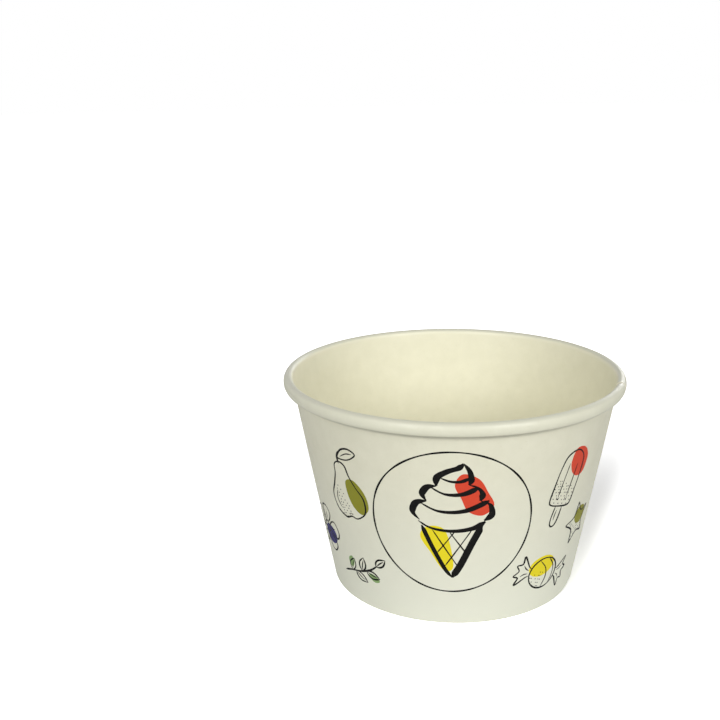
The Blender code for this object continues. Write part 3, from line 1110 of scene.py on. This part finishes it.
def floor_material():
    """White to the camera but for the shadow, and an even diffuse grey to all other rays."""
    s = Shader("floor")
    s.nodes.remove(s.principled)
    place = s.node("ShaderNodeTexCoord").outputs["Object"]
    axes = s.node("ShaderNodeSeparateXYZ", inputs={"Vector": place}).outputs
    side = s.calculate("ABSOLUTE", s.calculate("SUBTRACT", axes["X"], SHADOW_MIDDLE))
    half_width = s.calculate("MULTIPLY_ADD", axes["Y"], SHADOW_WIDENING, SHADOW_HALF_WIDTH)
    shaded_share = s.fade(s.calculate("DIVIDE", side, half_width), *SHADOW_SIDES)
    for reach in (SHADOW_FRONT, SHADOW_BACK):
        shaded_share = s.calculate("MULTIPLY", shaded_share, s.fade(axes["Y"], *reach))
    glow = s.ramp(shaded_share, FLOOR_GLOW_FAR, FLOOR_GLOW_NEAR, 0.0, 1.0)
    light = s.node("ShaderNodeEmission", inputs={"Strength": glow}).outputs[0]
    shaded, plain = (
        s.node("ShaderNodeBsdfDiffuse", inputs={"Color": [tone] * 3 + [1.0]}).outputs[0]
        for tone in (SHADOW_DEPTH, FLOOR_BOUNCE)
    )
    seen = s.node("ShaderNodeAddShader", inputs={0: light, 1: shaded}).outputs[0]
    rays = s.node("ShaderNodeLightPath").outputs["Is Camera Ray"]
    chosen = s.node("ShaderNodeMixShader", inputs={0: rays, 1: plain, 2: seen}).outputs[0]
    s.feed(s.nodes["Material Output"], "Surface", chosen)
    return s.material


def add_camera():
    """Camera at the photograph's viewing angle, with the cup's middle at its pixel."""
    back = Vector((0.0, -math.cos(CAMERA_ELEVATION), math.sin(CAMERA_ELEVATION)))
    right = Vector((1.0, 0.0, 0.0))
    looks_at_target = Matrix((right, back.cross(right), back))
    half = PHOTO_PIXELS / 2
    aim_right = (TARGET_PIXEL[0] - half) / FOCAL_PIXELS
    aim_up = (half - TARGET_PIXEL[1]) / FOCAL_PIXELS
    ahead = Vector((0.0, 0.0, -1.0))
    swing = ahead.rotation_difference(Vector((aim_right, aim_up, -1.0))).to_matrix()
    world_to_camera = swing @ Matrix.Rotation(CAMERA_ROLL, 3, "Z") @ looks_at_target
    data = bpy.data.cameras.new("camera")
    data.sensor_width = SENSOR_WIDTH
    data.lens = SENSOR_WIDTH * FOCAL_PIXELS / PHOTO_PIXELS
    data.clip_start = CAMERA_CLIP_START
    camera = link_object("camera", data)
    place = Vector((0.0, 0.0, TARGET_HEIGHT)) + CAMERA_DISTANCE * back
    camera.matrix_world = Matrix.Translation(place) @ world_to_camera.transposed().to_4x4()
    bpy.context.scene.camera = camera


def add_lamp(name, azimuth, elevation, strength):
    """Square soft lamp that faces the cup's middle."""
    data = bpy.data.lights.new(name, "AREA")
    data.shape = "SQUARE"
    data.size = LAMP_SIZE
    data.energy = strength * (math.pi * LAMP_DISTANCE) ** 2
    lamp = link_object(name, data)
    away = Vector(around_axis(math.cos(elevation), azimuth, math.sin(elevation)))
    lamp.location = Vector((0.0, 0.0, TARGET_HEIGHT)) + LAMP_DISTANCE * away
    lamp.rotation_euler = away.to_track_quat("Z", "Y").to_euler()


def add_world():
    """Even light all round, and white behind the cup for the camera, gloss and glass."""
    world = bpy.data.worlds.new("studio")
    bpy.context.scene.world = world
    world.use_nodes = True
    nodes = world.node_tree.nodes
    links = world.node_tree.links
    background = nodes["Background"]
    background.inputs["Color"].default_value = (1.0, 1.0, 1.0, 1.0)
    rays = nodes.new("ShaderNodeLightPath")
    seen = rays.outputs["Is Camera Ray"]
    for other in ("Is Glossy Ray", "Is Transmission Ray"):
        either = nodes.new("ShaderNodeMath")
        either.operation = "MAXIMUM"
        links.new(seen, either.inputs[0])
        links.new(rays.outputs[other], either.inputs[1])
        seen = either.outputs[0]
    strength = nodes.new("ShaderNodeMapRange")
    strength.inputs["To Min"].default_value = WORLD_LIGHT
    links.new(seen, strength.inputs["Value"])
    links.new(strength.outputs["Result"], background.inputs["Strength"])


def add_floor():
    """Pale floor that the camera sees as white, apart from the cup's soft shadow."""
    bm = bmesh.new()
    bmesh.ops.create_circle(bm, cap_ends=True, segments=FLOOR_SIDES, radius=FLOOR_RADIUS)
    mesh = bpy.data.meshes.new("floor")
    bm.to_mesh(mesh)
    bm.free()
    mesh.materials.append(floor_material())
    link_object("floor", mesh)


def add_cup():
    """The board pieces and the print, each in the place of its solid."""
    coated = board_material("board_coated_face", **BOARD_FACES["coated"])
    # Painted shade in the creases above and below the roll's lower edge
    crease_shade = toned(linear(BOARD_TINT), CREASE_SHADE_TONE)
    # Painted shade on the roll's crest
    crest_shade = toned(linear(ROLL_SHADED_TINT), CREST_SHADE_TONE)
    # The roll's darker tint is painted shade; it gives way to the coated tint at the inner lip
    roll_fades = (
        ("radius", ROLL_LIP_SHADE_FADE, linear(COATED_TINT)),
        ("height", ROLL_CREST_SHADE, crest_shade),
        ("height", ROLL_CREASE_SHADE, crease_shade),
    )
    rolled = board_material("board_rolled_rim_shaded", fades=roll_fades, **BOARD_FACES["rolled"])
    # Painted light: the printed face lightens towards the foot
    wall_fades = (("height", FOOT_LIGHT_FADE, linear(BOARD_FOOT_LIT_TINT)), ("height", WALL_CREASE_SHADE, crease_shade))
    printed = board_material("board_printed_face", fades=wall_fades, **BOARD_FACES["printed"])
    cut = edge_material()
    wall = side_wall()
    base = base_disc()
    for material in (coated, printed, cut, rolled):
        wall.data.materials.append(material)
    for material in (coated, printed):
        base.data.materials.append(material)
    for piece, node, slot in ((wall, "side_wall", "printed_board"), (base, "base_disc", "base_board")):
        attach(piece, BODY)
        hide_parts(node)
    for colour, piece in print_pieces().items():
        piece.data.materials.append(ink_material(colour))
        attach(piece, BODY)


add_cup()
add_camera()
add_world()
add_floor()
for lamp_name, lamp in LAMPS.items():
    add_lamp(lamp_name, **lamp)
bpy.context.scene.view_settings.view_transform = "Standard"
